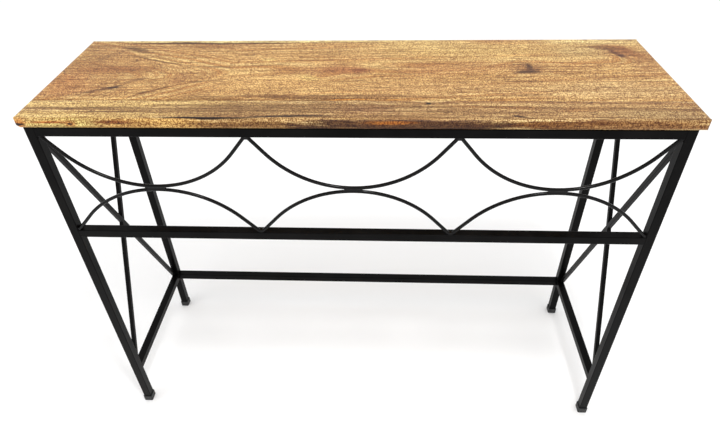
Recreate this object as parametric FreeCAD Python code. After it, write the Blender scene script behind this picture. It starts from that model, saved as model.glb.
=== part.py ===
# Console table: a solid-wood top of two edge-glued boards, fixed with screws
# through six welded tabs to a welded frame of square steel tube. The frame has
# a crossed brace in each end and a front panel of six arcs of round rod, and it
# stands on four moulded foot caps.
#
# Frame of reference: the origin is on the floor, under the middle of the top.
# +X runs to the right along the top, +Y from the front to the back, +Z up.
# The top overhangs the frame more at the left end than at the right one, so the
# frame is modelled about its own middle and moved right as it is exported.
# All sizes are in millimetres.

import FreeCAD
import Part
import math
import os

X_AXIS = FreeCAD.Vector(1, 0, 0)
Y_AXIS = FreeCAD.Vector(0, 1, 0)
Z_AXIS = FreeCAD.Vector(0, 0, 1)

# ---------------------------------------------------------------- whole table
table_height = 762.0

# ---------------------------------------------------------------- wooden top
top_length = 1035.0
top_depth = 300.0
top_thickness = 18.0
front_board_width = 59.0
left_end_skew = 6.5          # how much shorter the top is along its front edge
top_corner_radius = 7.0      # plan radius of the corners
wear_along_front = 12.0      # size of the facet worn on the lower front left corner
wear_along_end = 7.0
wear_up = 9.0
top_arris_radius = 1.5       # easing of the upper edge all round
under_arris_radius = 1.0     # easing of the lower edge all round

# ---------------------------------------------------------------- steel frame
tube_size = 16.0
tube_wall = 1.2
tube_corner_radius = 1.3
left_overhang = 16.0         # top beyond the frame at the left end, along its back
right_overhang = 12.0        # top beyond the frame at the right end
face_overhang = 3.5          # top beyond the frame at the front and the back
panel_height = 195.5         # clear height between the two front rails
stretcher_top_height = 121.5

# ---------------------------------------------------------------- end braces
brace_size = 8.0
brace_corner_radius = 0.6

# ---------------------------------------------------------------- front panel
rod_diameter = 6.0
rod_setback = 1.0            # rod behind the front face of the rails
arc_count = 3                # arcs side by side in each of the two rows
arc_touch_gap = 0.8          # between a hanging and a rising arc
arc_touch_drop = 3.5         # the gap's middle below the middle of the panel
foot_inset = 1.5             # rod's centre line from the end of its bay, at the rail
hanging_foot_angle = 52.0    # slope of the straight foot of a hanging arc
rising_foot_angle = 48.0     # slope of the straight foot of a rising arc
touch_weld_length = 30.0
foot_weld_height = 4.5
weld_inset = 0.6             # weld face behind the front and back of the rod

# ---------------------------------------------------------------- foot caps
cap_wall = 1.7
cap_floor = 3.0
cap_height = 15.0
cap_edge_break = 0.8

# ---------------------------------------------------------------- fixings
tab_length = 30.0
tab_reach = 22.0
tab_thickness = 2.5
tab_corner_radius = 4.0
tab_hole_diameter = 4.5
tab_hole_from_rail = 12.0
long_tab_spacing = 640.0     # between the two tabs on a long rail
screw_shank_diameter = 3.5
screw_bite = 12.0            # length of screw in the wood
screw_tip_length = 3.0
screw_head_diameter = 8.0
screw_head_height = 2.6
screw_slot_width = 1.0       # cross recess
screw_slot_length = 4.4
screw_slot_depth = 1.2
screw_rim_share = 0.6        # of the head's height that its rounded rim takes

# ---------------------------------------------------------------- tolerances
point_tolerance = 1e-6
level_tolerance = 1e-4
parallel_cosine = 0.999

# ---------------------------------------------------------------- worked out
frame_width = top_length - left_overhang - right_overhang
frame_shift = (left_overhang - right_overhang) / 2
frame_depth = top_depth - 2 * face_overhang
frame_height = table_height - top_thickness
half_width = frame_width / 2
half_depth = frame_depth / 2
inner_half_width = half_width - tube_size
inner_half_depth = half_depth - tube_size
leg_x = half_width - tube_size / 2
leg_y = half_depth - tube_size / 2
top_rail_z = frame_height - tube_size / 2
top_rail_underside = frame_height - tube_size
mid_rail_top = top_rail_underside - panel_height
mid_rail_z = mid_rail_top - tube_size / 2
stretcher_z = stretcher_top_height - tube_size / 2
arc_pitch = 2 * inner_half_width / arc_count
touch_z = (top_rail_underside + mid_rail_top) / 2 - arc_touch_drop
rod_y = -half_depth + rod_setback + rod_diameter / 2
weld_depth = rod_diameter - 2 * weld_inset
screw_z = frame_height - tab_thickness

SIDES = {"left": -1, "right": 1}


# ---------------------------------------------------------------- helpers
def vector(x, y, z):
    return FreeCAD.Vector(x, y, z)


def box_between(low, high):
    size = high.sub(low)
    return Part.makeBox(size.x, size.y, size.z, low)


def edges_along(shape, axis):
    found = []
    for edge in shape.Edges:
        run = edge.lastVertex().Point.sub(edge.firstVertex().Point)
        if run.Length < point_tolerance:
            continue
        if abs(run.normalize().dot(axis)) > parallel_cosine:
            found.append(edge)
    return found


def rounded_bar(start, axis, length, size, corner_radius):
    """A square bar whose centre line runs from start along axis."""
    half = vector(size / 2, size / 2, size / 2)
    across = half - axis * (size / 2)
    bar = box_between(start - across, start + across + axis * length)
    if corner_radius <= 0:
        return bar
    return bar.makeFillet(corner_radius, edges_along(bar, axis))


def square_tube(start, axis, length):
    outside = rounded_bar(start, axis, length, tube_size, tube_corner_radius)
    bore_size = tube_size - 2 * tube_wall
    bore = rounded_bar(start, axis, length, bore_size, tube_corner_radius - tube_wall)
    return outside.cut(bore)


def cylinder_up(centre, diameter, height):
    return Part.makeCylinder(diameter / 2, height, centre, Z_AXIS)


def on_table(shape):
    """A frame piece moved from the frame's own middle to its place under the top."""
    return shape.translated(X_AXIS * frame_shift)


def export(name, shape):
    shape.exportStep(os.path.join("parts", name + ".step"))


def export_frame_piece(name, shape):
    export(name, on_table(shape))


# ---------------------------------------------------------------- wooden top
def edges_at_height(shape, z):
    found = []
    for edge in shape.Edges:
        box = edge.BoundBox
        if abs(box.ZMin - z) < level_tolerance and abs(box.ZMax - z) < level_tolerance:
            found.append(edge)
    return found


def corner_wear(corner):
    """What is worn off below a slanting facet across the lower front left corner."""
    slant = vector(-1 / wear_along_front, -1 / wear_along_end, -1 / wear_up)
    size = 4 * wear_along_front
    block = Part.makeBox(size, size, size, vector(-size / 2, -size / 2, 0))
    facet_point = corner + X_AXIS * wear_along_front
    block.Placement = FreeCAD.Placement(facet_point, FreeCAD.Rotation(Z_AXIS, slant))
    return block


def top_slab():
    half_length = top_length / 2
    front = -top_depth / 2
    back = top_depth / 2
    worn_corner = vector(-half_length + left_end_skew, front, frame_height)
    outline = [
        worn_corner,
        vector(half_length, front, frame_height),
        vector(half_length, back, frame_height),
        vector(-half_length, back, frame_height),
        worn_corner,
    ]
    slab = Part.Face(Part.makePolygon(outline)).extrude(Z_AXIS * top_thickness)
    slab = slab.makeFillet(top_corner_radius, edges_along(slab, Z_AXIS))
    slab = slab.makeFillet(top_arris_radius, edges_at_height(slab, table_height))
    slab = slab.makeFillet(under_arris_radius, edges_at_height(slab, frame_height))
    return slab.cut(corner_wear(worn_corner))


def board(slab, y_low, y_high, screws):
    reach = top_length
    low = vector(-reach, y_low, frame_height - 1)
    high = vector(reach, y_high, table_height + 1)
    strip = slab.common(box_between(low, high))
    for screw in screws:
        if y_low < screw.CenterOfMass.y < y_high:
            strip = strip.cut(screw)
    return strip.Solids[0]


def export_boards(screws):
    slab = top_slab()
    front = -top_depth / 2
    back = top_depth / 2
    seam = front + front_board_width
    export("top_board_front", board(slab, front, seam, screws))
    export("top_board_back", board(slab, seam, back, screws))


# ---------------------------------------------------------------- frame tubes
def export_legs():
    for side, sign in SIDES.items():
        for face, y in (("front", -leg_y), ("back", leg_y)):
            foot = vector(sign * leg_x, y, cap_floor)
            leg = square_tube(foot, Z_AXIS, frame_height - cap_floor)
            export_frame_piece("leg_%s_%s" % (face, side), leg)


def rail_across(y, z):
    start = vector(-inner_half_width, y, z)
    return square_tube(start, X_AXIS, 2 * inner_half_width)


def rail_front_to_back(sign, z):
    start = vector(sign * leg_x, -inner_half_depth, z)
    return square_tube(start, Y_AXIS, 2 * inner_half_depth)


def export_rails():
    export_frame_piece("top_rail_front", rail_across(-leg_y, top_rail_z))
    export_frame_piece("top_rail_back", rail_across(leg_y, top_rail_z))
    export_frame_piece("mid_rail_front", rail_across(-leg_y, mid_rail_z))
    export_frame_piece("stretcher_back", rail_across(leg_y, stretcher_z))
    for side, sign in SIDES.items():
        export_frame_piece("top_rail_" + side, rail_front_to_back(sign, top_rail_z))
        export_frame_piece("stretcher_" + side, rail_front_to_back(sign, stretcher_z))


# ---------------------------------------------------------------- end braces
def brace_bar(sign, y_top, y_bottom):
    """A square bar on a diagonal of one end's clear opening, flush outside."""
    x = sign * (half_width - brace_size / 2)
    top = vector(x, y_top, top_rail_underside)
    bottom = vector(x, y_bottom, stretcher_top_height)
    run = top.sub(bottom)
    spare = 3 * brace_size
    length = run.Length + 2 * spare
    bar = rounded_bar(vector(0, 0, -spare), Z_AXIS, length, brace_size, brace_corner_radius)
    lean = math.degrees(math.atan2(-run.y, run.z))
    bar.rotate(vector(0, 0, 0), X_AXIS, lean)
    bar.translate(bottom)
    return bar


def end_opening(sign):
    x_middle = sign * leg_x
    low = vector(x_middle - tube_size, -inner_half_depth, stretcher_top_height)
    high = vector(x_middle + tube_size, inner_half_depth, top_rail_underside)
    return box_between(low, high)


def export_braces():
    for side, sign in SIDES.items():
        opening = end_opening(sign)
        long_bar = brace_bar(sign, -inner_half_depth, inner_half_depth).common(opening)
        crossing = brace_bar(sign, inner_half_depth, -inner_half_depth).common(opening)
        halves = crossing.cut(long_bar).Solids
        halves.sort(key=lambda half: half.CenterOfMass.z)
        export_frame_piece("brace_%s_long" % side, long_bar.Solids[0])
        export_frame_piece("brace_%s_lower" % side, halves[0])
        export_frame_piece("brace_%s_upper" % side, halves[-1])


# ---------------------------------------------------------------- front panel
class ArcRow:
    """One row of arcs: where its rail is, which way it bulges and its line.

    Each arc is a circular bend about the middle of its bay, carried on to the
    rail by two straight feet, which meet the neighbour's feet at the bay's end.
    """

    def __init__(self, rail_z, direction, foot_angle):
        self.rail_z = rail_z
        self.direction = direction
        self.slope = math.radians(foot_angle)
        self.rise = abs(rail_z - touch_z) - (arc_touch_gap + rod_diameter) / 2
        self.half_span = arc_pitch / 2 - foot_inset
        spare_height = self.half_span * math.tan(self.slope) - self.rise
        self.radius = spare_height / (1 / math.cos(self.slope) - 1)
        self.centre_z = rail_z + direction * (self.rise - self.radius)

    def bend(self, x):
        """The circular part, as a sector of a ring."""
        ring = Part.makeTorus(self.radius, rod_diameter / 2, vector(x, rod_y, self.centre_z), Y_AXIS)
        reach = 2 * self.radius * math.cos(self.slope)
        side = reach * math.tan(self.slope)
        height = self.centre_z + self.direction * reach
        outline = [
            vector(x, rod_y - rod_diameter, self.centre_z),
            vector(x - side, rod_y - rod_diameter, height),
            vector(x + side, rod_y - rod_diameter, height),
            vector(x, rod_y - rod_diameter, self.centre_z),
        ]
        sector = Part.Face(Part.makePolygon(outline)).extrude(Y_AXIS * (2 * rod_diameter))
        return ring.common(sector).Solids[0]

    def foot(self, x, side):
        """The straight part on one side, run on past the rail."""
        bend_end = vector(
            x + side * self.radius * math.sin(self.slope),
            rod_y,
            self.centre_z + self.direction * self.radius * math.cos(self.slope),
        )
        way = vector(side * math.cos(self.slope), 0, -self.direction * math.sin(self.slope))
        length = abs(bend_end.z - self.rail_z) / math.sin(self.slope) + 2 * rod_diameter
        return Part.makeCylinder(rod_diameter / 2, length, bend_end, way)

    def arc(self, index):
        """One whole arc, its feet cut off at the rail and at the ends of its bay."""
        x = -inner_half_width + (index + 0.5) * arc_pitch
        rod = self.bend(x).fuse([self.foot(x, -1), self.foot(x, 1)])
        heights = (self.rail_z, touch_z)
        low = vector(x - arc_pitch / 2, rod_y - rod_diameter, min(heights))
        high = vector(x + arc_pitch / 2, rod_y + rod_diameter, max(heights))
        return rod.common(box_between(low, high)).removeSplitter().Solids[0]


HANGING = ArcRow(top_rail_underside, -1, hanging_foot_angle)
RISING = ArcRow(mid_rail_top, 1, rising_foot_angle)


def panel_arcs():
    """Name to solid, for both rows of arcs."""
    names = arc_names()
    arcs = {}
    for index, name in enumerate(names):
        arcs["arc_hanging_" + name] = HANGING.arc(index)
        arcs["arc_rising_" + name] = RISING.arc(index)
    return arcs


def arc_names():
    if arc_count == 3:
        return ["left", "centre", "right"]
    return [str(index + 1) for index in range(arc_count)]


def touch_weld(x, rods):
    """Weld between the centre lines of two arcs, either side of where they pass."""
    half = vector(touch_weld_length / 2, weld_depth / 2, (arc_touch_gap + rod_diameter) / 2)
    middle = vector(x, rod_y, touch_z)
    return keep_largest(box_between(middle - half, middle + half).cut(rods))


def foot_weld(x, row, rods):
    """Weld that fills the notch where arcs meet their rail, clipped to the panel."""
    tip_z = row.rail_z + row.direction * foot_weld_height
    half_root = rod_diameter / 2
    half_mouth = half_root + foot_weld_height / math.tan(row.slope)
    y_front = rod_y - weld_depth / 2
    outline = [
        vector(x - half_root, y_front, row.rail_z),
        vector(x - half_mouth, y_front, tip_z),
        vector(x + half_mouth, y_front, tip_z),
        vector(x + half_root, y_front, row.rail_z),
        vector(x - half_root, y_front, row.rail_z),
    ]
    wedge = Part.Face(Part.makePolygon(outline)).extrude(Y_AXIS * weld_depth)
    low = vector(-inner_half_width, y_front, mid_rail_top)
    high = vector(inner_half_width, y_front + weld_depth, top_rail_underside)
    return keep_largest(wedge.common(box_between(low, high)).cut(rods))


def keep_largest(shape):
    return max(shape.Solids, key=lambda solid: solid.Volume)


def export_panel():
    arcs = panel_arcs()
    rods = Part.makeCompound(list(arcs.values()))
    for name, arc in arcs.items():
        export_frame_piece(name, arc)
    touch_welds = []
    foot_welds = []
    for index in range(arc_count):
        middle = -inner_half_width + (index + 0.5) * arc_pitch
        touch_welds.append(touch_weld(middle, rods))
    for index in range(arc_count + 1):
        joint = -inner_half_width + index * arc_pitch
        foot_welds.append(foot_weld(joint, HANGING, rods))
        foot_welds.append(foot_weld(joint, RISING, rods))
    export_frame_piece("welds_between_arcs", Part.makeCompound(touch_welds))
    export_frame_piece("welds_at_arc_feet", Part.makeCompound(foot_welds))


# ---------------------------------------------------------------- foot caps
def foot_cap(x, y):
    outer_size = tube_size + 2 * cap_wall
    outer_radius = tube_corner_radius + cap_wall
    cap = rounded_bar(vector(x, y, 0), Z_AXIS, cap_height, outer_size, outer_radius)
    ends = edges_at_height(cap, 0) + edges_at_height(cap, cap_height)
    cap = cap.makeFillet(cap_edge_break, ends)
    socket_start = vector(x, y, cap_floor)
    socket_depth = cap_height - cap_floor
    socket = rounded_bar(socket_start, Z_AXIS, socket_depth, tube_size, tube_corner_radius)
    return cap.cut(socket)


def export_foot_caps():
    for side, sign in SIDES.items():
        export_frame_piece("foot_cap_front_" + side, foot_cap(sign * leg_x, -leg_y))
        export_frame_piece("foot_cap_back_" + side, foot_cap(sign * leg_x, leg_y))


# ---------------------------------------------------------------- fixings
def tab_stations():
    """Each tab: the middle of its edge on the rail, and the way it reaches."""
    stations = []
    for x in (-long_tab_spacing / 2, long_tab_spacing / 2):
        stations.append((vector(x, -inner_half_depth, 0), Y_AXIS))
        stations.append((vector(x, inner_half_depth, 0), Y_AXIS * -1))
    for sign in SIDES.values():
        stations.append((vector(sign * inner_half_width, 0, 0), X_AXIS * -sign))
    return stations


def fixing_tab(root, reach_way):
    """A flat tab with two rounded outer corners and one hole."""
    length_way = reach_way.cross(Z_AXIS)
    half_run = length_way * (tab_length / 2)
    outline = [root - half_run, root + half_run]
    outline.append(root + half_run + reach_way * tab_reach)
    outline.append(root - half_run + reach_way * tab_reach)
    outline.append(outline[0])
    plate = Part.Face(Part.makePolygon(outline)).extrude(Z_AXIS * tab_thickness)
    outer_corners = []
    for edge in edges_along(plate, Z_AXIS):
        if edge.CenterOfMass.sub(root).dot(reach_way) > tab_reach / 2:
            outer_corners.append(edge)
    plate = plate.makeFillet(tab_corner_radius, outer_corners)
    hole = cylinder_up(root + reach_way * tab_hole_from_rail, tab_hole_diameter, tab_thickness)
    plate = plate.cut(hole)
    plate.translate(Z_AXIS * screw_z)
    return plate


def fixing_screw(root, reach_way):
    """A pan-head wood screw, driven upwards through its tab."""
    centre = root + reach_way * tab_hole_from_rail + Z_AXIS * screw_z
    head = cylinder_up(centre - Z_AXIS * screw_head_height, screw_head_diameter, screw_head_height)
    rim = edges_at_height(head, screw_z - screw_head_height)
    head = head.makeFillet(screw_head_height * screw_rim_share, rim)
    shank_length = tab_thickness + screw_bite - screw_tip_length
    shank = cylinder_up(centre, screw_shank_diameter, shank_length)
    tip = Part.makeCone(screw_shank_diameter / 2, 0, screw_tip_length, centre + Z_AXIS * shank_length, Z_AXIS)
    screw = head.fuse(shank).fuse(tip).removeSplitter()
    slot_floor = centre - Z_AXIS * screw_head_height
    for way in (X_AXIS, Y_AXIS):
        half_slot = way * (screw_slot_length / 2) + way.cross(Z_AXIS) * (screw_slot_width / 2)
        corner = vector(abs(half_slot.x), abs(half_slot.y), 0)
        slot = box_between(slot_floor - corner, slot_floor + corner + Z_AXIS * screw_slot_depth)
        screw = screw.cut(slot)
    return screw.Solids[0]


def export_fixings():
    stations = tab_stations()
    tabs = [fixing_tab(root, way) for root, way in stations]
    screws = [fixing_screw(root, way) for root, way in stations]
    export_frame_piece("fixing_tabs", Part.makeCompound(tabs))
    export_frame_piece("fixing_screws", Part.makeCompound(screws))
    return [on_table(screw) for screw in screws]


# ---------------------------------------------------------------- whole table
def main():
    os.makedirs("parts", exist_ok=True)
    screws = export_fixings()
    export_boards(screws)
    export_legs()
    export_rails()
    export_braces()
    export_panel()
    export_foot_caps()


main()
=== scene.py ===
"""The looks of a console table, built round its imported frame.

A top of two edge-glued hardwood boards lies on a welded frame of black square
tube, with crossed braces in both ends and a front panel of six rod arcs.
Lengths are in metres. +X runs right, +Y from the front to the back, +Z up.
"""

import logging
import math
from contextlib import contextmanager
from dataclasses import dataclass, field
from enum import Enum
from typing import Callable, Iterator, Sequence, Union

import bmesh
import bpy
from mathutils import Matrix, Vector


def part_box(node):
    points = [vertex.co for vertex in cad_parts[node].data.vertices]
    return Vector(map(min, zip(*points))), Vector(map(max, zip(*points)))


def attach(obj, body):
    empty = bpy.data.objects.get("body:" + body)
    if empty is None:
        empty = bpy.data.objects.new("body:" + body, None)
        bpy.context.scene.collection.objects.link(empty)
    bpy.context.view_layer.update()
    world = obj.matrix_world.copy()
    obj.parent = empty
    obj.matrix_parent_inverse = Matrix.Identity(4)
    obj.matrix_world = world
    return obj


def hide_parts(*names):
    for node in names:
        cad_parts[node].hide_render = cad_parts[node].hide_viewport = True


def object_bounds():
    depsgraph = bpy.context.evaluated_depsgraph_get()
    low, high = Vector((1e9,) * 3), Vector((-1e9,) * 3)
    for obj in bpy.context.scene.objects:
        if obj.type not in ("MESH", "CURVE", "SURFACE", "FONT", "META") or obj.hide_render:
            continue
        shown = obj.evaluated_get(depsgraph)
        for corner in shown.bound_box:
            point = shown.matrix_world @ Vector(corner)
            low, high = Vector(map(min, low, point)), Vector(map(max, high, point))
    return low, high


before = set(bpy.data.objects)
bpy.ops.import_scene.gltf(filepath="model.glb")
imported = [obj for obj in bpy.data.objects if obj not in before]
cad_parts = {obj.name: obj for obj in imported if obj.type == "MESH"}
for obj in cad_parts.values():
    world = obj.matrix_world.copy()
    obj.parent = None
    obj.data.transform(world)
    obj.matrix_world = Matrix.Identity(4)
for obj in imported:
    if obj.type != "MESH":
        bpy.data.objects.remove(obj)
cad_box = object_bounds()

LOG = logging.getLogger("console_table")
MM = 0.001
ROOT = "root"
TOP_FACE = round(cad_box[1].z / MM, 1)  # mm; the height of the boards' upper faces
GRAIN_ORIGIN = 2.0           # mm; the grain's places are counted from here along X
ON_FACE = 0.01 * MM          # an edge this near a face lies on it
ON_SEAM = 0.1 * MM           # an edge this near the glue seam belongs to it
SAME_WAY = 0.999             # the least cosine between things that run the same way

Triple = tuple[float, float, float]
Span = tuple[float, float]
Shade = tuple[int, int, int]
Socket = bpy.types.NodeSocket
Input = Union[Socket, float, Sequence[float]]


# -------- modelling
class Element(Enum):
    """What edit mode selects, and where the edit mesh keeps it."""

    VERT = "verts"
    EDGE = "edges"
    FACE = "faces"


class Blend(Enum):
    """How a material's second colour lies over its first."""

    COVER = "MIX"
    TINT = "MULTIPLY"
    RELIEF = "SOFT_LIGHT"


def deselect_all() -> None:
    """Leave object mode's selection empty."""
    bpy.ops.object.select_all(action="DESELECT")


def pick(*pieces: bpy.types.Object) -> None:
    """Select these pieces only, the first one active.

    Args:
        pieces: the objects to select.
    """
    deselect_all()
    for piece in pieces:
        piece.select_set(True)
    bpy.context.view_layer.objects.active = pieces[0]


@contextmanager
def editing(piece: bpy.types.Object,
            element: Element = Element.FACE) -> Iterator[bmesh.types.BMesh]:
    """Edit mode on one piece, with nothing selected at the start.

    Args:
        piece: the mesh object to edit.
        element: what it selects.

    Yields:
        The edit mesh, for selecting by place.
    """
    pick(piece)
    bpy.ops.object.mode_set(mode="EDIT")
    bpy.ops.mesh.select_mode(type=element.name)
    bpy.ops.mesh.select_all(action="DESELECT")
    yield bmesh.from_edit_mesh(piece.data)
    bpy.ops.object.mode_set(mode="OBJECT")


def select_where(piece: bpy.types.Object, element: Element, test: Callable[..., bool]) -> int:
    """Select the elements of the piece in edit mode that pass a test.

    Args:
        piece: the mesh object in edit mode.
        element: which kind of element to look through.
        test: takes one element and says whether to select it.

    Returns:
        How many were selected.
    """
    mesh = bmesh.from_edit_mesh(piece.data)
    chosen = [part for part in getattr(mesh, element.value) if test(part)]
    for part in chosen:
        part.select_set(True)
    mesh.select_flush(True)
    bmesh.update_edit_mesh(piece.data)
    return len(chosen)


def middle_of(edge: bmesh.types.BMEdge) -> Vector:
    """The middle of an edge."""
    return (edge.verts[0].co + edge.verts[1].co) / 2


def runs_along(edge: bmesh.types.BMEdge, axis: int) -> bool:
    """Whether an edge runs along a world axis, 0, 1 or 2."""
    run = edge.verts[1].co - edge.verts[0].co
    return run.length > 0 and abs(run[axis]) / run.length > SAME_WAY


def block(name: str, low: Vector, high: Vector) -> bpy.types.Object:
    """A box between two corners, as the start of a piece.

    Args:
        name: the new object's name.
        low: its lowest corner.
        high: its highest corner.

    Returns:
        The object, with its place in its mesh.
    """
    deselect_all()
    bpy.ops.mesh.primitive_cube_add(size=1, location=(low + high) / 2)
    piece = bpy.context.active_object
    piece.scale = high - low
    piece.name = piece.data.name = name
    settle(piece)
    return piece


def settle(piece: bpy.types.Object) -> None:
    """Put the piece's place, turn and scale into its mesh."""
    pick(piece)
    bpy.ops.object.transform_apply(location=True, rotation=True, scale=True)


def apply_modifier(piece: bpy.types.Object, kind: str, **settings: object) -> None:
    """Add a modifier, set it and apply it.

    Args:
        piece: the object.
        kind: the modifier's type.
        settings: its properties.
    """
    pick(piece)
    modifier = piece.modifiers.new(kind.lower(), kind)
    for key, value in settings.items():
        setattr(modifier, key, value)
    bpy.ops.object.modifier_apply(modifier=modifier.name)


def shade(piece: bpy.types.Object, degrees: float) -> None:
    """Smooth shading that keeps edges sharper than an angle."""
    pick(piece)
    bpy.ops.object.shade_smooth_by_angle(angle=math.radians(degrees))


def finish_piece(piece: bpy.types.Object, material: bpy.types.Material) -> None:
    """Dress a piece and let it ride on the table.

    Args:
        piece: the object.
        material: its finish.
    """
    piece.data.materials.clear()
    piece.data.materials.append(material)
    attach(piece, ROOT)


def dress_node(node: str, material: bpy.types.Material) -> bpy.types.Object:
    """Give a CAD node's slots one finish.

    Args:
        node: the node's name.
        material: the finish.

    Returns:
        The node's object.
    """
    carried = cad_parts[node]
    if not carried.material_slots:
        carried.data.materials.append(material)
    for place in carried.material_slots:
        place.material = material
    return carried


def dress_nodes(starts: tuple[str, ...],
                material: bpy.types.Material) -> list[bpy.types.Object]:
    """Give one finish to every CAD node whose name starts in one of these ways."""
    return [dress_node(node, material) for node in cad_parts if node.startswith(starts)]


# -------- finishes
def mm(*values: float) -> tuple:
    """Millimetres as metres."""
    return tuple(value * MM for value in values)


def linear(red: int, green: int, blue: int) -> tuple[float, float, float, float]:
    """A colour given as 0 to 255 display values, as linear light.

    Args:
        red: display red.
        green: display green.
        blue: display blue.

    Returns:
        Linear red, green, blue and an alpha of 1.
    """
    def one(value: int) -> float:
        """One display value as linear light."""
        share = value / 255
        return share / 12.92 if share <= 0.04045 else ((share + 0.055) / 1.055) ** 2.4

    return (one(red), one(green), one(blue), 1.0)


class Sheet:
    """A node material being drawn up: small calls that each add one node."""

    def __init__(self, name: str) -> None:
        """Start a material with a lone Principled shader.

        Args:
            name: the material's name.
        """
        self.material = bpy.data.materials.new(name)
        self.material.use_nodes = True
        self.tree = self.material.node_tree
        self.tree.nodes.clear()
        self.shader = self.tree.nodes.new("ShaderNodeBsdfPrincipled")
        output = self.tree.nodes.new("ShaderNodeOutputMaterial")
        self.tree.links.new(self.shader.outputs[0], output.inputs[0])

    def feed(self, socket: Socket, value: Input) -> None:
        """Link a socket to another, or set its value.

        Args:
            socket: the input to feed.
            value: an output socket, a number, a vector or a colour.
        """
        if isinstance(value, bpy.types.NodeSocket):
            self.tree.links.new(value, socket)
        else:
            socket.default_value = value

    def place(self) -> Socket:
        """Object coordinates."""
        return self.tree.nodes.new("ShaderNodeTexCoord").outputs["Object"]

    def split(self, vector: Socket) -> tuple[Socket, Socket, Socket]:
        """The three parts of a vector.

        Args:
            vector: the vector.

        Returns:
            Its x, y and z.
        """
        node = self.tree.nodes.new("ShaderNodeSeparateXYZ")
        self.feed(node.inputs[0], vector)
        return node.outputs[0], node.outputs[1], node.outputs[2]

    def join(self, x: Input, y: Input, z: Input) -> Socket:
        """A vector from its three parts.

        Args:
            x: the first part.
            y: the second part.
            z: the third part.

        Returns:
            The vector.
        """
        node = self.tree.nodes.new("ShaderNodeCombineXYZ")
        for socket, value in zip(node.inputs, (x, y, z)):
            self.feed(socket, value)
        return node.outputs[0]

    def math(self, operation: str, a: Input, b: Input = 0.0) -> Socket:
        """One Math node.

        Args:
            operation: what it does.
            a: its first number.
            b: its second number, where it has one.

        Returns:
            The result.
        """
        node = self.tree.nodes.new("ShaderNodeMath")
        node.operation = operation
        self.feed(node.inputs[0], a)
        self.feed(node.inputs[1], b)
        return node.outputs[0]

    def vector_math(self, operation: str, a: Input, b: Input) -> Socket:
        """One Vector Math node with a vector result.

        Args:
            operation: what it does.
            a: its first vector.
            b: its second vector.

        Returns:
            The result.
        """
        node = self.tree.nodes.new("ShaderNodeVectorMath")
        node.operation = operation
        self.feed(node.inputs[0], a)
        self.feed(node.inputs[1], b)
        return node.outputs[0]

    def stretch(self, vector: Socket, scale: Triple, shift: Triple = (0, 0, 0)) -> Socket:
        """A vector scaled along each axis, then shifted.

        Args:
            vector: the vector.
            scale: how much finer the pattern gets along each axis.
            shift: what is added after that.

        Returns:
            The new vector.
        """
        node = self.tree.nodes.new("ShaderNodeMapping")
        self.feed(node.inputs["Vector"], vector)
        node.inputs["Scale"].default_value = scale
        node.inputs["Location"].default_value = shift
        return node.outputs[0]

    def noise(self, place: Socket, detail: float, roughness: float,
              colour: bool = False, line: bool = False) -> Socket:
        """A noise texture at unit scale over stretched coordinates.

        Args:
            place: the coordinates, or one number for a noise along a line.
            detail: how many finer layers it has.
            roughness: how strong the finer layers are.
            colour: whether to give three noises at once.
            line: whether it runs along a line.

        Returns:
            The noise.
        """
        node = self.tree.nodes.new("ShaderNodeTexNoise")
        node.noise_dimensions = "1D" if line else "3D"
        self.feed(node.inputs["W" if line else "Vector"], place)
        node.inputs["Scale"].default_value = 1.0
        node.inputs["Detail"].default_value = detail
        node.inputs["Roughness"].default_value = roughness
        return node.outputs["Color" if colour else "Fac"]

    def band(self, value: Input, low: float, high: float, to_low: float = 0.0,
             to_high: float = 1.0) -> Socket:
        """A number mapped smoothly from one range to another, and held at its ends.

        Args:
            value: the number.
            low: where the first range starts.
            high: where it ends.
            to_low: what the start becomes.
            to_high: what the end becomes.

        Returns:
            The mapped number.
        """
        node = self.tree.nodes.new("ShaderNodeMapRange")
        node.interpolation_type = "SMOOTHSTEP"
        self.feed(node.inputs["Value"], value)
        node.inputs["From Min"].default_value = low
        node.inputs["From Max"].default_value = high
        node.inputs["To Min"].default_value = to_low
        node.inputs["To Max"].default_value = to_high
        return node.outputs[0]

    def ramp(self, value: Socket, stops: Sequence[tuple[float, tuple]]) -> Socket:
        """A colour ramp.

        Args:
            value: where to read it, 0 to 1.
            stops: its places and their colours.

        Returns:
            The colour.
        """
        node = self.tree.nodes.new("ShaderNodeValToRGB")
        self.feed(node.inputs[0], value)
        elements = node.color_ramp.elements
        while len(elements) < len(stops):
            elements.new(0.5)
        for element, (place, colour) in zip(elements, stops):
            element.position = place
            element.color = colour
        return node.outputs[0]

    def mix(self, share: Input, a: Input, b: Input, blend: Blend = Blend.COVER) -> Socket:
        """A mix of two colours.

        Args:
            share: how much of the second there is.
            a: the first colour.
            b: the second colour.
            blend: how the second lies over the first.

        Returns:
            The mixed colour.
        """
        node = self.tree.nodes.new("ShaderNodeMix")
        node.data_type = "RGBA"
        node.blend_type = blend.value
        self.feed(node.inputs[0], share)
        self.feed(node.inputs[6], a)
        self.feed(node.inputs[7], b)
        return node.outputs[2]

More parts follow.
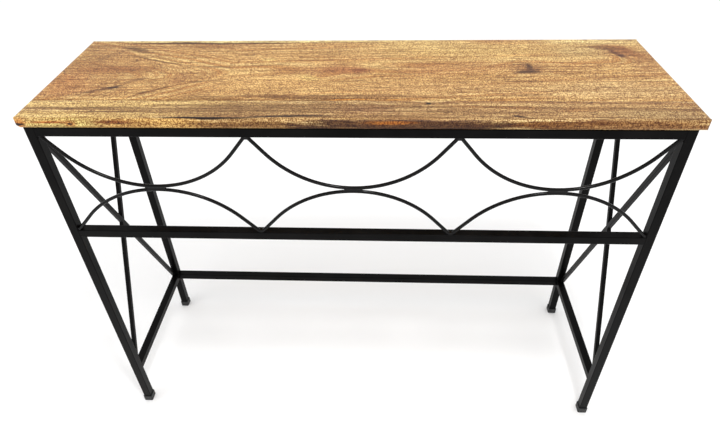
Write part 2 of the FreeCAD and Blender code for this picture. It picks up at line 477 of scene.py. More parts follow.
    def blob(self, vector: Socket, patch: "Patch", streak: Socket | None) -> Socket:
        """A soft-edged patch: 1 in its middle, 0 outside.

        Args:
            vector: the coordinates.
            patch: where it lies, its reach, its bend and its edge.
            streak: fibres that fray its edge, if any.

        Returns:
            The mask.
        """
        node = self.tree.nodes.new("ShaderNodeMapping")
        node.vector_type = "TEXTURE"
        self.feed(node.inputs["Vector"], vector)
        node.inputs["Location"].default_value = mm(patch.x + GRAIN_ORIGIN, patch.y, patch.z)
        node.inputs["Rotation"].default_value = (0, 0, math.radians(patch.turn))
        size = mm(patch.half_length, patch.half_width, patch.half_depth)
        node.inputs["Scale"].default_value = size
        local = node.outputs[0]
        if patch.bend:
            along, across, deep = self.split(local)
            sag = self.math("MULTIPLY", self.math("MULTIPLY", along, along), patch.bend)
            local = self.join(along, self.math("SUBTRACT", across, sag), deep)
        length = self.tree.nodes.new("ShaderNodeVectorMath")
        length.operation = "LENGTH"
        self.feed(length.inputs[0], local)
        reach = length.outputs["Value"]
        if streak is not None and patch.fray:
            fray = self.math("MULTIPLY", self.math("SUBTRACT", streak, 0.5), patch.fray * 2)
            reach = self.math("ADD", reach, fray)
        return self.band(reach, 1 - patch.softness, 1 + patch.softness / 2, 1.0, 0.0)

    def bump(self, height: Socket, distance: float, strength: float) -> None:
        """Bump the shader's normal by a height map.

        Args:
            height: the height, 0 to 1.
            distance: how far 1 stands out, in metres.
            strength: how much of it shows.
        """
        node = self.tree.nodes.new("ShaderNodeBump")
        node.inputs["Distance"].default_value = distance
        node.inputs["Strength"].default_value = strength
        self.feed(node.inputs["Height"], height)
        self.feed(self.shader.inputs["Normal"], node.outputs[0])


@dataclass(frozen=True)
class Patch:
    """A place where the wood's colour changes, in millimetres on the board: its own tone, and on
    the front edge painted shade as well.

    A patch is an ellipse lying on the board, turned by some degrees. A bend
    curves it, so that its ends stand that share of its half width to one side.
    """

    x: float
    y: float
    half_length: float
    half_width: float
    colour: Shade
    strength: float
    turn: float = 0.0
    bend: float = 0.0
    softness: float = 0.7
    fray: float = 0.8
    z: float = TOP_FACE
    half_depth: float = 60.0


@dataclass(frozen=True)
class Swell:
    """A place where the growth rings part round a knot, in millimetres."""

    x: float
    y: float
    half_length: float
    half_width: float
    rings: float
    turn: float = 0.0


@dataclass(frozen=True)
class Cathedral:
    """The run of the growth rings over a board, in millimetres.

    Left of the tip the rings open out in nested arches; right of it they run
    nearly straight along the board.
    """

    tip_x: float
    axis_y: float
    axis_turn: float
    opening: float
    straightness: float
    roundness: float
    spacing: float


# Multipliers from the darkest fibre to the palest: dark fibres are redder too.
TINT_STOPS = [
    (0.0, (0.220, 0.160, 0.110, 1.0)),
    (0.5, (0.500, 0.500, 0.500, 1.0)),
    (1.0, (0.740, 0.860, 1.000, 1.0)),
]


@dataclass(frozen=True)
class Hardwood:
    """Oiled mango wood with its grain along X.

    A figure is a noise, given as how often it repeats in a metre along X, Y and
    Z. A drift is a figure and how far it moves things along each axis. A reach
    is the range of a noise's values over which it takes hold.
    """

    name: str
    seed: float
    rings: Cathedral
    tones: Sequence[tuple[float, Shade]]
    patches: Sequence[Patch] = ()
    swells: Sequence[Swell] = ()
    slow_drift: tuple[Triple, Triple] = ((9, 26, 26), (0.020, 0.009, 0.002))
    quick_drift: tuple[Triple, Triple] = ((45, 120, 120), (0.008, 0.0022, 0.0005))
    cloud: Triple = (6, 24, 24)
    fibre: Triple = (9, 230, 230)
    fibre_reach: Span = (0.12, 0.88)
    speckle: Triple = (640, 490, 490)
    speckle_reach: Span = (0.38, 0.62)
    pore: Triple = (62, 560, 560)
    pore_reach: Span = (0.56, 0.66)
    pore_tint: Shade = (140, 104, 76)
    pore_strength: float = 0.75
    ring_reach: Span = (0.30, 0.70)
    ring_contrast: float = 0.55
    oil: Triple = (2.66, 2.38, 1.70)
    roughness: Span = (0.42, 0.56)
    gloss: float = 0.25
    relief: float = 0.12 * MM
    relief_strength: float = 0.6

    def build(self) -> bpy.types.Material:
        """Draw up the material.

        Returns:
            The finished material.
        """
        sheet = Sheet(self.name)
        place = sheet.place()
        wandering = self._wander(sheet, place)
        streak = sheet.noise(sheet.stretch(wandering, self.fibre), 4, 0.6)
        colour = self._ground(sheet, wandering)
        colour = self._ring_lines(sheet, wandering, colour)
        for patch in self.patches:
            share = sheet.math("MULTIPLY", sheet.blob(wandering, patch, streak), patch.strength)
            colour = sheet.mix(share, colour, linear(*patch.colour))
        self._surface(sheet, place, streak, colour)
        return sheet.material

    def _wander(self, sheet: Sheet, place: Socket) -> Socket:
        """Coordinates that drift a little, so that lines and patches wave.

        Args:
            sheet: the material.
            place: the steady coordinates.

        Returns:
            The drifting coordinates.
        """
        shift = (self.seed, self.seed * 2, self.seed * 3)
        drifts = []
        for figure, reach in (self.slow_drift, self.quick_drift):
            drift = sheet.noise(sheet.stretch(place, figure, shift), 2, 0.5, colour=True)
            drift = sheet.vector_math("SUBTRACT", drift, (0.5, 0.5, 0.5))
            drifts.append(sheet.vector_math("MULTIPLY", drift, reach))
        return sheet.vector_math("ADD", place, sheet.vector_math("ADD", *drifts))

    def _ground(self, sheet: Sheet, place: Socket) -> Socket:
        """The board's own broad change of tone.

        Args:
            sheet: the material.
            place: the coordinates.

        Returns:
            The colour.
        """
        shift = (self.seed * 5, self.seed, 0)
        broad = sheet.noise(sheet.stretch(place, self.cloud, shift), 3, 0.6)
        return sheet.ramp(broad, [(at, linear(*colour)) for at, colour in self.tones])

    def _ring_lines(self, sheet: Sheet, place: Socket, colour: Socket) -> Socket:
        """Growth rings over the ground, faint and fine.

        Args:
            sheet: the material.
            place: the coordinates.
            colour: the ground.

        Returns:
            The ground with its rings.
        """
        tone = sheet.noise(self._ring_count(sheet, place), 3, 0.6, line=True)
        level = sheet.band(tone, *self.ring_reach)
        grey = sheet.join(level, level, level)
        return sheet.mix(self.ring_contrast, colour, grey, Blend.RELIEF)

    def _ring_count(self, sheet: Sheet, place: Socket) -> Socket:
        """How many growth rings lie between the heart line and a point.

        Args:
            sheet: the material.
            place: the coordinates.

        Returns:
            The count, from a start of the board's own.
        """
        node = sheet.tree.nodes.new("ShaderNodeMapping")
        node.vector_type = "TEXTURE"
        sheet.feed(node.inputs["Vector"], place)
        tip = mm(self.rings.tip_x + GRAIN_ORIGIN, self.rings.axis_y, TOP_FACE)
        node.inputs["Location"].default_value = tip
        node.inputs["Rotation"].default_value = (0, 0, math.radians(self.rings.axis_turn))
        along, across, _ = sheet.split(node.outputs[0])
        square = sheet.math("MULTIPLY", across, across)
        square = sheet.math("ADD", square, (self.rings.roundness * MM) ** 2)
        arch = sheet.math("SQRT", square)
        left = sheet.math("MULTIPLY", sheet.math("MINIMUM", along, 0.0), self.rings.opening)
        right = sheet.math("MULTIPLY", sheet.math("MAXIMUM", along, 0.0), self.rings.straightness)
        total = sheet.math("ADD", arch, sheet.math("ADD", left, right))
        count = sheet.math("DIVIDE", total, self.rings.spacing * MM)
        for swell in self.swells:
            reach = Patch(swell.x, swell.y, swell.half_length, swell.half_width, (0, 0, 0), 1,
                          swell.turn, softness=1.0, fray=0.0)
            mask = sheet.blob(place, reach, None)
            count = sheet.math("ADD", count, sheet.math("MULTIPLY", mask, swell.rings))
        return sheet.math("ADD", count, self.seed * 7)

    def _surface(self, sheet: Sheet, place: Socket, streak: Socket, colour: Socket) -> None:
        """Fibres, speckle and pores, in the colour, the gloss and the relief.

        Args:
            sheet: the material.
            place: the steady coordinates.
            streak: the fibres.
            colour: the wood before its fine figure.
        """
        speckle = sheet.noise(sheet.stretch(place, self.speckle), 1, 0.5)
        dash = sheet.noise(sheet.stretch(place, self.pore), 2, 0.55)
        pores = sheet.band(dash, *self.pore_reach)
        for figure, reach in ((streak, self.fibre_reach), (speckle, self.speckle_reach)):
            tint = sheet.ramp(sheet.band(figure, *reach), TINT_STOPS)
            colour = sheet.mix(1.0, colour, tint, Blend.TINT)
        darker = sheet.mix(1.0, colour, linear(*self.pore_tint), Blend.TINT)
        colour = sheet.mix(sheet.math("MULTIPLY", pores, self.pore_strength), colour, darker)
        colour = sheet.mix(1.0, colour, (*self.oil, 1.0), Blend.TINT)
        sheet.feed(sheet.shader.inputs["Base Color"], colour)
        rough = sheet.band(speckle, 0.2, 0.8, *self.roughness)
        sheet.feed(sheet.shader.inputs["Roughness"], rough)
        sheet.shader.inputs["Specular IOR Level"].default_value = self.gloss
        height = sheet.math("SUBTRACT", sheet.math("MULTIPLY", streak, 0.5), pores)
        sheet.bump(height, self.relief, self.relief_strength)


@dataclass(frozen=True)
class PowderCoat:
    """Satin black powder coat with fine orange peel."""

    name: str
    shade: int = 6
    mottle: int = 5
    roughness: float = 0.32
    smoother: float = 0.05
    rougher: float = 0.07
    gloss: float = 0.06
    peel: float = 0.05 * MM
    grain: float = 900.0

    def build(self) -> bpy.types.Material:
        """Draw up the material.

        Returns:
            The finished material.
        """
        sheet = Sheet(self.name)
        place = sheet.place()
        cloud = sheet.noise(sheet.stretch(place, (14, 14, 14)), 4, 0.6)
        peel = sheet.noise(sheet.stretch(place, (self.grain,) * 3), 2, 0.5)
        low, high = self.shade - self.mottle, self.shade + self.mottle
        stops = [(0.3, linear(low, low, low)), (0.7, linear(high + 1, high, high))]
        sheet.feed(sheet.shader.inputs["Base Color"], sheet.ramp(cloud, stops))
        rough = sheet.band(cloud, 0.25, 0.75, self.roughness - self.smoother,
                           self.roughness + self.rougher)
        sheet.feed(sheet.shader.inputs["Roughness"], rough)
        sheet.shader.inputs["Specular IOR Level"].default_value = self.gloss
        sheet.bump(peel, self.peel, 0.5)
        return sheet.material


@dataclass(frozen=True)
class MouldedPlastic:
    """Matt black moulded plastic with a fine spark texture."""

    name: str
    shade: int = 20
    rubbed: int = 16
    roughness: Span = (0.5, 0.68)
    spark: float = 0.04 * MM

    def build(self) -> bpy.types.Material:
        """Draw up the material.

        Returns:
            The finished material.
        """
        sheet = Sheet(self.name)
        place = sheet.place()
        spark = sheet.noise(sheet.stretch(place, (1600,) * 3), 2, 0.6)
        scuff = sheet.noise(sheet.stretch(place, (220, 220, 90)), 4, 0.65)
        pale = self.shade + self.rubbed
        stops = [(0.5, linear(*(self.shade,) * 3)), (0.8, linear(pale, pale, pale - 1))]
        sheet.feed(sheet.shader.inputs["Base Color"], sheet.ramp(scuff, stops))
        rough = sheet.band(scuff, 0.3, 0.7, *self.roughness)
        sheet.feed(sheet.shader.inputs["Roughness"], rough)
        sheet.bump(spark, self.spark, 0.6)
        return sheet.material


@dataclass(frozen=True)
class ZincPlate:
    """Bright zinc plate on the screws, slightly clouded."""

    name: str
    dull: Shade = (150, 150, 146)
    bright: Shade = (192, 192, 186)
    roughness: Span = (0.28, 0.45)

    def build(self) -> bpy.types.Material:
        """Draw up the material.

        Returns:
            The finished material.
        """
        sheet = Sheet(self.name)
        cloud = sheet.noise(sheet.stretch(sheet.place(), (420,) * 3), 3, 0.6)
        stops = [(0.3, linear(*self.dull)), (0.7, linear(*self.bright))]
        sheet.feed(sheet.shader.inputs["Base Color"], sheet.ramp(cloud, stops))
        rough = sheet.band(cloud, 0.3, 0.7, *self.roughness)
        sheet.feed(sheet.shader.inputs["Roughness"], rough)
        sheet.shader.inputs["Metallic"].default_value = 1.0
        return sheet.material


# -------- the top
# Patches on the front edge: over all of its height, and along its upper part only. Their colours
# hold the edge's own streaks together with painted shade, which keeps the front face darker than
# the top as if it were less lit.
EDGE = {"y": -151.0, "z": 753.0, "half_width": 5.0, "half_depth": 18.0, "softness": 0.4}
ARRIS_TONE_AND_SHADE = {"y": -152.0, "z": 757.0, "half_width": 5.0, "half_depth": 3.5, "softness": 0.7}

FRONT_SAPWOOD = [
    Patch(-380, -103, 290, 13, (244, 210, 148), 0.9, fray=1.2),
    Patch(-430, -136, 190, 15, (240, 206, 144), 0.9, fray=1.2),
    Patch(-300, -94, 230, 1.8, (232, 200, 140), 0.6, fray=1.2),
]
FRONT_DARK_BANDS = [
    Patch(20, -139, 190, 7, (158, 118, 78), 0.7, fray=1.2),
    Patch(240, -138, 110, 9, (176, 138, 96), 0.7, fray=1.0),
    Patch(490, -137, 40, 10, (160, 124, 88), 0.7, fray=1.0),
    Patch(-400, -117, 200, 2.6, (140, 104, 62), 0.85, fray=1.2),
    Patch(-200, -121, 200, 14, (164, 128, 84), 0.8, fray=1.2),
    Patch(-60, -112, 200, 17, (152, 114, 76), 0.8, fray=1.2),
    Patch(20, -118, 60, 14, (150, 106, 76), 0.6),
    Patch(200, -126, 120, 4, (150, 112, 78), 0.6, bend=1.0),
    Patch(430, -128, 90, 18, (172, 140, 100), 0.75),
    Patch(300, -115, 25, 8, (160, 130, 96), 0.5),
]
FRONT_CRACKS = [
    Patch(-220, -144, 80, 2.8, (44, 22, 12), 1.0, 1.5, softness=0.3, fray=0.5),
    Patch(-95, -139.5, 85, 2.6, (52, 28, 16), 1.0, 1.0, softness=0.3, fray=0.7),
    Patch(-330, -128, 120, 1.6, (150, 104, 60), 0.8, fray=0.9),
    Patch(-420, -122, 90, 1.4, (158, 112, 66), 0.8, -0.6, fray=0.9),
    Patch(-60, -144.5, 130, 1.6, (214, 178, 126), 0.7, fray=0.8),
    Patch(248, -138, 11, 2.6, (66, 36, 22), 1.0, -14, softness=0.4, fray=0.2),
    Patch(117, -100, 9, 4.5, (140, 100, 70), 0.7, fray=0.4),
    Patch(117, -100, 4.6, 3.2, (16, 8, 6), 1.0, softness=0.3, fray=0.1),
]
# Front-edge colours: the edge's own streaks, bark and worn corner, with painted shade that makes
# the whole front face darker than the top.
FRONT_EDGE_TONE_AND_SHADE = [
    Patch(-450, half_length=95, colour=(232, 206, 138), strength=0.9, **EDGE),
    Patch(-290, half_length=110, colour=(226, 180, 114), strength=0.95, **EDGE),
    Patch(-150, half_length=90, colour=(152, 108, 62), strength=0.9, **EDGE),
    Patch(90, half_length=210, colour=(86, 50, 28), strength=0.95, **EDGE),
    Patch(310, half_length=80, colour=(136, 86, 40), strength=0.9, **EDGE),
    Patch(440, half_length=120, colour=(164, 116, 72), strength=0.9, **EDGE),
    Patch(-460, half_length=45, colour=(190, 96, 30), strength=0.95, **ARRIS_TONE_AND_SHADE),
    Patch(-360, half_length=40, colour=(128, 58, 20), strength=0.95, **ARRIS_TONE_AND_SHADE),
    Patch(52, half_length=42, colour=(206, 124, 44), strength=0.85, **ARRIS_TONE_AND_SHADE),
    Patch(-503, -147, 14, 14, (222, 136, 58), 0.85, z=753, half_depth=9, fray=0.5),
    Patch(-506, -147, 17, 16, (50, 28, 18), 1.0, z=752.5, half_depth=2.4, softness=0.4, fray=0.5),
    Patch(-424, -151, 13, 4, (198, 124, 60), 0.9, z=753.5, half_depth=5.0, fray=0.3),
    Patch(-424, -151, 6, 4, (74, 42, 26), 1.0, z=753.5, half_depth=2.2, softness=0.4, fray=0.3),
]
FRONT_BOARD_WOOD = Hardwood(
    name="mango_front_board",
    seed=3.1,
    rings=Cathedral(-500, -175, 0, 0.02, 0.02, 20, 7),
    tones=[(0.30, (188, 146, 100)), (0.50, (198, 158, 112)), (0.70, (208, 170, 122))],
    patches=FRONT_SAPWOOD + FRONT_DARK_BANDS + FRONT_CRACKS + FRONT_EDGE_TONE_AND_SHADE,
    swells=[
        Swell(117, -100, 40, 14, 1.2),
        Swell(330, -135, 130, 22, 1.5),
    ],
)

BACK_SAPWOOD = [
    Patch(-180, 149, 440, 15, (255, 236, 184), 1.0, softness=0.2, fray=0.4),
    Patch(430, 140, 110, 15, (232, 200, 142), 0.85),
    Patch(484, 126, 46, 20, (228, 192, 134), 0.75),
    Patch(200, 95, 200, 40, (228, 192, 132), 0.75, fray=1.0),
    Patch(396, 92, 60, 32, (218, 188, 138), 0.7),
    Patch(40, 141, 160, 14, (232, 200, 142), 0.6),
]
BACK_EDGE_BAND = [
    Patch(-290, 132, 200, 3.8, (84, 46, 24), 1.0, softness=0.4, fray=0.6),
    Patch(-20, 133, 150, 2.6, (150, 100, 60), 0.8, fray=1.0),
    Patch(-250, 122, 130, 11, (176, 126, 82), 0.65, fray=1.2),
    Patch(-500, 117, 35, 20, (184, 142, 96), 0.5),
    Patch(244, 138, 48, 10, (186, 134, 86), 0.75),
]
FLAME = [
    Patch(-440, 10, 70, 115, (184, 134, 86), 0.45, fray=0.3),
    Patch(-488, -30, 48, 66, (196, 134, 84), 0.65, fray=0.5),
    Patch(-430, 112, 90, 24, (184, 134, 88), 0.5, fray=0.8),
    Patch(-150, -25, 110, 42, (234, 190, 132), 0.7, fray=0.6),
    Patch(-412, 101, 38, 9, (124, 88, 54), 0.85, -22),
    Patch(-453, 80, 26, 9, (164, 120, 80), 0.75, 55),
    Patch(-362, 61, 66, 3.2, (252, 218, 156), 0.85, -25, 2.0, fray=0.4),
    Patch(-362, 54, 84, 2.6, (128, 84, 46), 0.9, -22, 3.0, fray=0.5),
    Patch(-250, 30, 38, 3.2, (120, 78, 44), 0.85, -4),
    Patch(-421, 20, 88, 13, (172, 114, 68), 0.85, 3, fray=0.6),
    Patch(-370, -20, 20, 7, (164, 118, 80), 0.7, 35),
    Patch(-298, -16, 16, 30, (186, 132, 88), 0.6, -20),
    Patch(-322, -54, 60, 2.8, (130, 84, 46), 0.9, 31, -3.0, fray=0.4),
    Patch(-246, -25, 40, 2.4, (130, 86, 48), 0.85, 7, fray=0.4),
    Patch(-458, -62, 46, 9, (196, 140, 92), 0.6, 20),
]
LEFT_KNOT = [
    Patch(-420, -56, 38, 5.5, (126, 80, 50), 0.9, 22),
    Patch(-396, -47, 14, 5.5, (76, 38, 26), 1.0, 24, fray=0.3),
    Patch(-399, 58, 1.8, 4.2, (92, 56, 38), 0.85, 15, fray=0.2),
]
HEART = [
    Patch(-45, 19, 72, 22, (202, 148, 98), 0.85, fray=0.6),
    Patch(-18, 18, 50, 14, (186, 124, 80), 0.9, fray=0.6),
    Patch(4, 16, 15, 12, (150, 90, 58), 0.9, fray=0.5),
    Patch(-160, 59, 16, 7, (240, 206, 140), 0.85),
    Patch(-79, -13, 19, 12, (240, 206, 140), 0.85, -14),
    Patch(130, 20, 72, 21, (204, 150, 100), 0.7, fray=1.0),
    Patch(220, 25, 60, 24, (208, 156, 106), 0.5),
]
RIGHT_KNOT = [
    Patch(292, 20, 34, 26, (168, 118, 76), 0.8, fray=0.5),
    Patch(293.5, 28, 6.5, 16, (100, 64, 42), 0.95, 6, fray=0.3),
    Patch(289, 9, 22, 8, (92, 58, 38), 0.95, 4, fray=0.5),
    Patch(350, 12, 38, 1.8, (160, 106, 66), 0.75),
    Patch(262, -12, 52, 2.0, (166, 120, 78), 0.7, bend=1.8, fray=0.4),
    Patch(264, -19, 52, 2.0, (226, 184, 126), 0.7, bend=1.8, fray=0.4),
    Patch(266, -26, 50, 2.0, (168, 122, 80), 0.7, bend=1.8, fray=0.4),
    Patch(268, -32, 46, 1.8, (226, 184, 126), 0.6, bend=1.8, fray=0.4),
]
RIGHT_SWIRL = [
    Patch(474, 92, 56, 30, (170, 112, 68), 0.95, -42, fray=0.4),
    Patch(440, 108, 30, 9, (150, 104, 66), 0.9, -14, fray=0.4),
    Patch(456, 84, 26, 7, (112, 66, 44), 0.9, -58, fray=0.3),
    Patch(462, 71, 9, 6, (104, 56, 42), 0.95, -50, fray=0.3),
    Patch(424, 108, 26, 3, (160, 122, 84), 0.65, -15, -2.0),
    Patch(430, 134, 100, 15, (250, 222, 168), 0.95, fray=0.5),
    Patch(494, 20, 32, 36, (196, 144, 96), 0.6, fray=0.5),
    Patch(120, 124, 110, 24, (238, 204, 146), 0.8, fray=0.8),
    Patch(502, 104, 16, 22, (226, 186, 130), 0.6),
]
BESIDE_SEAM = [
    Patch(-215, -83, 60, 8, (146, 104, 64), 0.85, fray=1.2),
    Patch(-60, -80, 140, 12, (146, 102, 62), 0.85, fray=1.2),
    Patch(110, -78, 130, 10, (168, 122, 80), 0.65, fray=1.2),
    Patch(-5, -88.5, 38, 1.7, (232, 156, 62), 0.9, fray=0.4),
    Patch(62, -88.5, 15, 1.4, (226, 160, 76), 0.8, fray=0.4),
    Patch(0, -90.8, 520, 1.0, (140, 100, 62), 0.45, fray=0.6),
    Patch(400, -58, 150, 38, (220, 184, 138), 0.8),
    Patch(150, -50, 180, 26, (210, 168, 120), 0.6),
]
BACK_BOARD_WOOD = Hardwood(
    name="mango_back_board",
    seed=1.7,
    rings=Cathedral(-215, 8, 5, 0.46, 0.03, 14, 9),
    tones=[(0.30, (204, 156, 102)), (0.50, (215, 169, 114)), (0.70, (224, 182, 126))],
    patches=(BACK_SAPWOOD + BACK_EDGE_BAND + FLAME + LEFT_KNOT + HEART + RIGHT_KNOT
             + RIGHT_SWIRL + BESIDE_SEAM),
    swells=[
        Swell(-18, 18, 100, 30, 2.0),
        Swell(292, 20, 60, 34, 3.0),
        Swell(-396, -47, 60, 22, 2.0, 22),
        Swell(480, 84, 70, 36, 3.0, -50),
        Swell(275, 138, 50, 14, 1.4),
    ],
)


@dataclass
class WoodenTop:
    """Two edge-glued boards with hand-eased edges."""

    end_skew: float = 6.5 * MM
    corner_radius: float = 7 * MM
    corner_steps: int = 8
    wear: Triple = (13 * MM, 8 * MM, 10 * MM)
    arris: float = 1.5 * MM
    arris_steps: int = 3
    seam_arris: float = 0.15 * MM
    sharp: float = 0.5
    cell: float = 12 * MM
    unevenness: float = 0.25 * MM
    swell: float = 60 * MM
    smooth_below: float = 40
    boards: dict[str, Hardwood] = field(default_factory=lambda: {
        "top_board_front": FRONT_BOARD_WOOD,
        "top_board_back": BACK_BOARD_WOOD,
    })

    def build(self) -> list[bpy.types.Object]:
        """Model and dress both boards.

        Returns:
            The two board objects.
        """
        return [self._board(node, wood) for node, wood in self.boards.items()]

    def _board(self, node: str, wood: Hardwood) -> bpy.types.Object:
        """One board, from a block to its finish.

        Args:
            node: the CAD node that it replaces.
            wood: its finish.

        Returns:
            The board.
        """
        low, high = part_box(node)
        piece = block(node.replace("top_", "wooden_"), low, high)
        self._skew_left_end(piece)
        self._round_corners(piece)
        self._ease_edges(piece)
        if node == "top_board_front":
            self._wear_corner(piece)
        self._divide(piece)
        self._weather(piece)
        shade(piece, self.smooth_below)
        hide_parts(node)
        finish_piece(piece, wood.build())
        return piece

    def _skew_left_end(self, piece: bpy.types.Object) -> None:
        """Cut the left end a little out of square.

        Args:
            piece: the board.
        """
        low, high = cad_box
        run = Vector((self.end_skew, -(high.y - low.y), 0))
        outward = Vector((run.y, -run.x, 0)).normalized()
        with editing(piece):
            bpy.ops.mesh.select_all(action="SELECT")
            bpy.ops.mesh.bisect(plane_co=(low.x, high.y, 0), plane_no=outward,
                                use_fill=True, clear_outer=True)

    def _round_corners(self, piece: bpy.types.Object) -> None:
        """Round the outer upright corners.

        Args:
            piece: the board.
        """
        low, high = cad_box

        def at_corner(edge: bmesh.types.BMEdge) -> bool:
            """Whether an edge is upright and at the top's front or back."""
            y = middle_of(edge).y
            return min(abs(y - low.y), abs(y - high.y)) < MM and runs_along(edge, 2)

        with editing(piece, Element.EDGE):
            select_where(piece, Element.EDGE, at_corner)
            bpy.ops.mesh.bevel(offset=self.corner_radius, segments=self.corner_steps,
                               affect="EDGES")

    def _wear_corner(self, piece: bpy.types.Object) -> None:
        """Break the lower front left corner off at a slant.

        Args:
            piece: the front board.
        """
        low, high = cad_box
        along, across, up = self.wear
        corner = Vector((low.x + self.end_skew, low.y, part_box("top_board_front")[0].z))
        slant = Vector((-1 / along, -1 / across, -1 / up)).normalized()
        with editing(piece, Element.EDGE):
            bpy.ops.mesh.select_all(action="SELECT")
            bpy.ops.mesh.bisect(plane_co=corner + Vector((along, 0, 0)), plane_no=slant,
                                use_fill=True, clear_outer=True)

    def _ease_edges(self, piece: bpy.types.Object) -> None:
        """Ease the upper and lower edges; seam edges only a little.

        Args:
            piece: the board.
        """
        low, high = cad_box
        top, bottom = high.z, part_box("top_board_back")[0].z
        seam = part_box("top_board_back")[0].y

        def flat_edge(edge: bmesh.types.BMEdge, at_seam: bool) -> bool:
            """Whether an edge is a sharp one of the upper or lower face.

            Args:
                edge: the edge.
                at_seam: whether it must be at the seam, or away from it.

            Returns:
                True if it is.
            """
            point = middle_of(edge)
            level = min(abs(point.z - top), abs(point.z - bottom)) < ON_FACE
            same = abs(edge.verts[0].co.z - edge.verts[1].co.z) < ON_FACE / 10
            sharp = len(edge.link_faces) == 2 and edge.calc_face_angle() > self.sharp
            return level and same and sharp and (abs(point.y - seam) < ON_SEAM) == at_seam

        eases = ((False, self.arris, self.arris_steps), (True, self.seam_arris, 1))
        for at_seam, width, steps in eases:
            with editing(piece, Element.EDGE):
                if select_where(piece, Element.EDGE, lambda edge: flat_edge(edge, at_seam)):
                    bpy.ops.mesh.bevel(offset=width, segments=steps, affect="EDGES")

    def _divide(self, piece: bpy.types.Object) -> None:
        """Cut the board into cells, so that its faces can be uneven.

        Args:
            piece: the board.
        """
        low, high = cad_box
        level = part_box("top_board_back")[0].z
        with editing(piece):
            for axis in (0, 1):
                count = int((high[axis] - low[axis]) / self.cell)
                normal = Vector((0, 0, 0))
                normal[axis] = 1
                for step in range(1, count):
                    point = Vector((0, 0, level))
                    point[axis] = low[axis] + step * (high[axis] - low[axis]) / count
                    bpy.ops.mesh.select_all(action="SELECT")
                    bpy.ops.mesh.bisect(plane_co=point, plane_no=normal)

    def _weather(self, piece: bpy.types.Object) -> None:
        """Make the faces slightly uneven, as sanding by hand leaves them.

        Args:
            piece: the board.
        """
        texture = bpy.data.textures.new(piece.name + "_unevenness", "CLOUDS")
        texture.noise_scale = self.swell
        apply_modifier(piece, "DISPLACE", texture=texture, texture_coords="LOCAL",
                       strength=self.unevenness, mid_level=1.0)


# -------- the frame
@dataclass
class SteelFrame:
    """Legs, rails, stretchers, braces and arcs, in black powder coat."""

    tubes: tuple[str, ...] = ("leg_", "top_rail_", "mid_rail_", "stretcher_", "fixing_tabs")
    bars: tuple[str, ...] = ("brace_",)
    rods: tuple[str, ...] = ("arc_", "welds_")

    def build(self) -> list[bpy.types.Object]:
        """Dress every steel node.

        Returns:
            The steel pieces.
        """
        finishes = {
            self.tubes: PowderCoat("powder_coat_tube"),
            self.bars: PowderCoat("powder_coat_bar", shade=9),
            self.rods: PowderCoat("powder_coat_rod", shade=7, roughness=0.18, gloss=0.16),
        }
        pieces = []
        for starts, finish in finishes.items():
            pieces += dress_nodes(starts, finish.build())
        return pieces


@dataclass
class WeldBeads:
    """The rippled beads where the rails and stretchers meet the legs."""

    radius: float = 1.7 * MM
    ripple: float = 0.84
    pitch: float = 1.3 * MM
    margin: float = 1.6 * MM
    sides: int = 16
    smooth_below: float = 50
    rails: tuple[str, ...] = ("top_rail_", "mid_rail_", "stretcher_")

    def build(self) -> list[bpy.types.Object]:
        """Model the beads under every rail, one piece for each rail.

        Returns:
            The pieces.
        """
        material = PowderCoat("powder_coat_weld", shade=9, roughness=0.3, gloss=0.08).build()
        pieces = []
        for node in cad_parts:
            if node.startswith(self.rails):
                beads = self._under_rail(node)
                pick(*beads)
                bpy.ops.object.join()
                shade(beads[0], self.smooth_below)
                finish_piece(beads[0], material)
                pieces.append(beads[0])
        return pieces

    def _under_rail(self, node: str) -> list[bpy.types.Object]:
        """The two beads under the ends of one rail, across its width.

        Args:
            node: the rail's CAD node.

        Returns:
            The two beads, not yet joined.
        """
        low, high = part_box(node)
        size = high - low
        along = 0 if size.x > size.y else 1
        first = self._bead("weld_beads_" + node, size.z - 2 * self.margin)
        pick(first)
        bpy.ops.object.duplicate()
        beads = [first, bpy.context.active_object]
        for bead, end in zip(beads, (low, high)):
            bead.location = (low + high) / 2
            bead.location[along] = end[along]
            bead.location.z = low.z
            bead.rotation_euler.z = math.radians(90 if along == 0 else 0)
            settle(bead)
        return beads

    def _bead(self, name: str, length: float) -> bpy.types.Object:
        """One bead along X about the origin, waisted between its ripples.

        Args:
            name: the new object's name.
            length: how long it is.

        Returns:
            The bead.
        """
        deselect_all()
        bpy.ops.mesh.primitive_cylinder_add(vertices=self.sides, radius=self.radius,
                                            depth=length, rotation=(0, math.radians(90), 0))
        bead = bpy.context.active_object
        bead.name = bead.data.name = name
        settle(bead)
        count = round(length / self.pitch) * 2
        stations = [length * (step / count - 0.5) for step in range(1, count)]
        with editing(bead):
            for x in stations:
                bpy.ops.mesh.select_all(action="SELECT")
                bpy.ops.mesh.bisect(plane_co=(x, 0, 0), plane_no=(1, 0, 0))
        ends = [-length / 2, length / 2]
        waists = [(x, self.ripple) for x in stations[1::2]] + [(x, self.ripple / 2) for x in ends]
        for x, share in waists:
            with editing(bead, Element.VERT):
                select_where(bead, Element.VERT, lambda vert, at=x: abs(vert.co.x - at) < 0.1 * MM)
                bpy.ops.transform.resize(value=(1, share, share), center_override=(x, 0, 0))
        return bead


@dataclass
class FootCaps:
    """Four moulded caps pushed over the legs."""

    caps: tuple[str, ...] = ("foot_cap_",)

    def build(self) -> list[bpy.types.Object]:
        """Dress the caps, and give them back."""
        return dress_nodes(self.caps, MouldedPlastic("moulded_cap").build())


@dataclass
class Fixings:
    """The screws that hold the top."""

    screws: tuple[str, ...] = ("fixing_screws",)

    def build(self) -> list[bpy.types.Object]:
        """Dress the screws, and give them back."""
        return dress_nodes(self.screws, ZincPlate("zinc_plate").build())


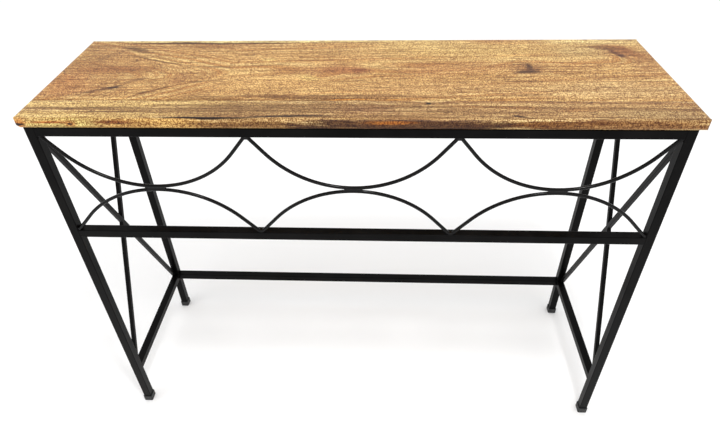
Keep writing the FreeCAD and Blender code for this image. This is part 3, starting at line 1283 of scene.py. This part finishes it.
# -------- the studio
@dataclass(frozen=True)
class Viewpoint:
    """Where the camera stands and how it looks."""

    position: Triple = (0.0538, -0.8267, 1.1681)
    yaw: float = -3.368
    pitch: float = 35.68
    roll: float = 1.537
    lens: float = 26.97
    shift_y: float = -0.0667

    def build(self) -> list[bpy.types.Object]:
        """Make the scene's camera.

        Returns:
            The camera, alone in a list.
        """
        yaw, pitch, roll = (math.radians(a) for a in (self.yaw, self.pitch, self.roll))
        ahead = Vector((math.sin(yaw) * math.cos(pitch), math.cos(yaw) * math.cos(pitch),
                        -math.sin(pitch)))
        level_right = Vector((math.cos(yaw), -math.sin(yaw), 0))
        level_down = ahead.cross(level_right)
        right = math.cos(roll) * level_right + math.sin(roll) * level_down
        down = -math.sin(roll) * level_right + math.cos(roll) * level_down
        data = bpy.data.cameras.new("studio_camera")
        data.lens = self.lens
        data.shift_y = self.shift_y
        camera = bpy.data.objects.new("studio_camera", data)
        axes = Matrix((right, -down, -ahead)).transposed()
        camera.matrix_world = Matrix.Translation(self.position) @ axes.to_4x4()
        bpy.context.scene.collection.objects.link(camera)
        bpy.context.scene.camera = camera
        return [camera]


@dataclass(frozen=True)
class Softbox:
    """A square area light aimed at a point, in metres and watts."""

    name: str
    place: Triple
    target: Triple
    size: float
    power: float

    def build(self) -> bpy.types.Object:
        """Make the light.

        Returns:
            The light's object.
        """
        data = bpy.data.lights.new(self.name, "AREA")
        data.size = self.size
        data.energy = self.power
        lamp = bpy.data.objects.new(self.name, data)
        lamp.location = self.place
        aim = Vector(self.target) - Vector(self.place)
        lamp.rotation_euler = aim.to_track_quat("-Z", "Y").to_euler()
        bpy.context.scene.collection.objects.link(lamp)
        return lamp


@dataclass
class Studio:
    """A pale floor and soft lights."""

    floor_size: float = 40.0
    floor_shade: int = 250
    floor_roughness: float = 0.9
    world_strength: float = 1.06
    lamps: tuple[Softbox, ...] = (
        Softbox("above_front", (0.35, -0.80, 2.6), (0, 0, 0.6), 0.28, 19),
        Softbox("left", (-2.6, -1.0, 1.6), (0, 0, 0.4), 1.2, 6),
    )

    def build(self) -> list[bpy.types.Object]:
        """Make the floor, the lights and the world.

        Returns:
            The floor and the lights.
        """
        made = [self._floor()] + [lamp.build() for lamp in self.lamps]
        world = bpy.data.worlds.new("studio_world")
        world.use_nodes = True
        background = world.node_tree.nodes["Background"]
        background.inputs["Color"].default_value = (1, 1, 1, 1)
        background.inputs["Strength"].default_value = self.world_strength
        bpy.context.scene.world = world
        bpy.context.scene.view_settings.view_transform = "Standard"
        return made

    def _floor(self) -> bpy.types.Object:
        """A large pale plane at the height of the feet.

        Returns:
            The floor.
        """
        deselect_all()
        bpy.ops.mesh.primitive_plane_add(size=self.floor_size, location=(0, 0, cad_box[0].z))
        floor = bpy.context.active_object
        floor.name = "studio_floor"
        sheet = Sheet("studio_floor")
        sheet.shader.inputs["Base Color"].default_value = linear(*(self.floor_shade,) * 3)
        sheet.shader.inputs["Roughness"].default_value = self.floor_roughness
        floor.data.materials.append(sheet.material)
        return floor


def main() -> None:
    """Build the table and its studio in order, and report each piece."""
    logging.basicConfig(level=logging.INFO, format="%(message)s")
    assemblies = (WoodenTop(), SteelFrame(), WeldBeads(), FootCaps(), Fixings(), Viewpoint(),
                  Studio())
    for assembly in assemblies:
        for piece in assembly.build():
            LOG.info("%s: %s", type(assembly).__name__, piece.name)


if __name__ == "__main__":
    main()
